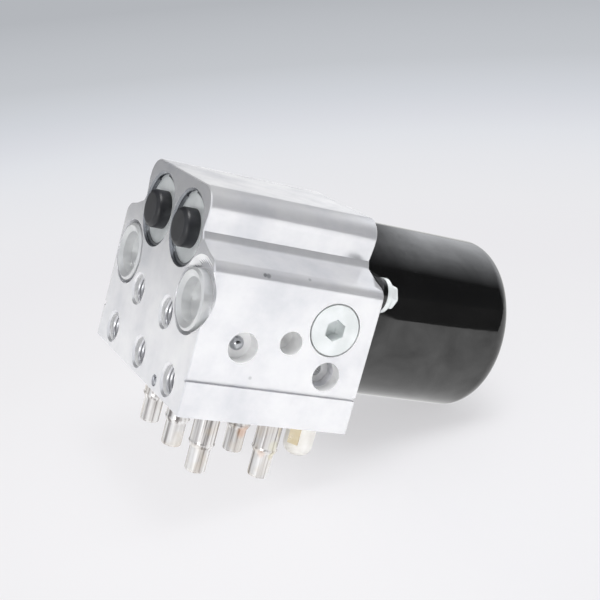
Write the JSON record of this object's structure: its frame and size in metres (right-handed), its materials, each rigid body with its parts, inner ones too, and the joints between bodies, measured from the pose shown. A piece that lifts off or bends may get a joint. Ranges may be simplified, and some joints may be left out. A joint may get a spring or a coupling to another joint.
{
  "type": "abs brake module",
  "caption": "Anti-lock brake module: extruded aluminium valve block with brake line ports, pump motor, accumulators with rubber caps and solenoid valve stems.",
  "frame": {"origin": "centre of the controller face, the flat underside of the block", "axes": "+X along the motor axis from the port face to the motor, +Z out of the block's top, opposite to the valve stems"},
  "size_m": [0.1596, 0.1006, 0.1148],
  "materials": {
    "aluminium_block": "machined and tumbled",
    "plated_steel": "zinc plated",
    "spring_steel": "oiled spring wire",
    "ground_steel": "ground",
    "valve_steel": "nickel plated, warm tint",
    "anodised_aluminium": "anodised",
    "black_rubber": "satin",
    "black_paint": "glossy black",
    "ferrite": "sintered",
    "lamination_steel": "lacquered stack",
    "copper": "lacquered wire",
    "brass": "tinned brass",
    "carbon": "pressed carbon",
    "black_plastic": "moulded",
    "ivory_plastic": "moulded"
  },
  "bodies": {
    "housing": {"hydraulic_block": "aluminium_block", "accumulator_ring_left": "spring_steel", "accumulator_cover_left": "plated_steel", "accumulator_cap_left": "black_rubber", "accumulator_spring_left": "spring_steel", "damper_plug_left": "plated_steel", "pump_plug_left": "plated_steel", "pump_sleeve_left": "ground_steel", "pump_spring_left": "spring_steel", "accumulator_ring_right": "spring_steel", "accumulator_cover_right": "plated_steel", "accumulator_cap_right": "black_rubber", "accumulator_spring_right": "spring_steel", "damper_plug_right": "plated_steel", "pump_plug_right": "plated_steel", "pump_sleeve_right": "ground_steel", "pump_spring_right": "spring_steel", "valve_sleeve_1": "valve_steel", "valve_core_1": "ground_steel", "valve_sleeve_2": "valve_steel", "valve_core_2": "ground_steel", "valve_sleeve_3": "valve_steel", "valve_core_3": "ground_steel", "valve_sleeve_4": "valve_steel", "valve_core_4": "ground_steel", "valve_sleeve_5": "valve_steel", "valve_core_5": "ground_steel", "valve_sleeve_6": "valve_steel", "valve_core_6": "ground_steel", "end_bearing": "ground_steel", "flange_bearing": "ground_steel", "rear_bearing": "ground_steel", "motor_flange": "black_paint", "motor_can": "black_paint", "motor_bolts": "plated_steel", "motor_seal_ring": "black_rubber", "magnet_upper": "ferrite", "magnet_lower": "ferrite", "brush_holder": "black_plastic", "brushes": "carbon", "connector_post": "ivory_plastic", "connector_terminals": "brass", "sealing_balls": "ground_steel"},
    "rotor": {"motor_shaft": "ground_steel", "eccentric_bearing": "ground_steel", "armature_core": "lamination_steel", "armature_winding": "copper", "commutator": "copper"},
    "pump_piston_left_body": {"pump_piston_left": "ground_steel"},
    "accumulator_piston_left_body": {"accumulator_piston_left": "anodised_aluminium", "accumulator_seal_left": "black_rubber"},
    "pump_piston_right_body": {"pump_piston_right": "ground_steel"},
    "accumulator_piston_right_body": {"accumulator_piston_right": "anodised_aluminium", "accumulator_seal_right": "black_rubber"},
    "valve_plunger_1_body": {"valve_plunger_1": "ground_steel"},
    "valve_plunger_2_body": {"valve_plunger_2": "ground_steel"},
    "valve_plunger_3_body": {"valve_plunger_3": "ground_steel"},
    "valve_plunger_4_body": {"valve_plunger_4": "ground_steel"},
    "valve_plunger_5_body": {"valve_plunger_5": "ground_steel"},
    "valve_plunger_6_body": {"valve_plunger_6": "ground_steel"}
  },
  "joints": [
    {"name": "rotor_spin", "type": "hinge", "parent": "housing", "child": "rotor", "pos_m": [0.0195, 0, 0.042], "axis": [1, 0, 0], "continuous": true},
    {"name": "pump_piston_left_slide", "type": "slide", "parent": "housing", "child": "pump_piston_left_body", "axis": [0, 1, 0], "range_m": [0, 0.0012], "stiffness_N_per_m": 1500, "springref_m": 0.004, "deforming": ["pump_spring_left"]},
    {"name": "accumulator_piston_left_slide", "type": "slide", "parent": "housing", "child": "accumulator_piston_left_body", "axis": [-1, 0, 0], "range_m": [0, 0.009], "stiffness_N_per_m": 2500, "springref_m": -0.006, "deforming": ["accumulator_spring_left"]},
    {"name": "pump_piston_right_slide", "type": "slide", "parent": "housing", "child": "pump_piston_right_body", "axis": [0, -1, 0], "range_m": [0, 0.0012], "stiffness_N_per_m": 1500, "springref_m": 0.004, "deforming": ["pump_spring_right"]},
    {"name": "accumulator_piston_right_slide", "type": "slide", "parent": "housing", "child": "accumulator_piston_right_body", "axis": [-1, 0, 0], "range_m": [0, 0.009], "stiffness_N_per_m": 2500, "springref_m": -0.006, "deforming": ["accumulator_spring_right"]},
    {"name": "valve_plunger_1_slide", "type": "slide", "parent": "housing", "child": "valve_plunger_1_body", "axis": [0, 0, 1], "range_m": [0, 0.0004], "stiffness_N_per_m": 600, "springref_m": -0.003},
    {"name": "valve_plunger_2_slide", "type": "slide", "parent": "housing", "child": "valve_plunger_2_body", "axis": [0, 0, 1], "range_m": [0, 0.0004], "stiffness_N_per_m": 600, "springref_m": -0.003},
    {"name": "valve_plunger_3_slide", "type": "slide", "parent": "housing", "child": "valve_plunger_3_body", "axis": [0, 0, 1], "range_m": [0, 0.0004], "stiffness_N_per_m": 600, "springref_m": -0.003},
    {"name": "valve_plunger_4_slide", "type": "slide", "parent": "housing", "child": "valve_plunger_4_body", "axis": [0, 0, 1], "range_m": [0, 0.0004], "stiffness_N_per_m": 600, "springref_m": -0.003},
    {"name": "valve_plunger_5_slide", "type": "slide", "parent": "housing", "child": "valve_plunger_5_body", "axis": [0, 0, 1], "range_m": [0, 0.0004], "stiffness_N_per_m": 600, "springref_m": -0.003},
    {"name": "valve_plunger_6_slide", "type": "slide", "parent": "housing", "child": "valve_plunger_6_body", "axis": [0, 0, 1], "range_m": [0, 0.0004], "stiffness_N_per_m": 600, "springref_m": -0.003}
  ]
}
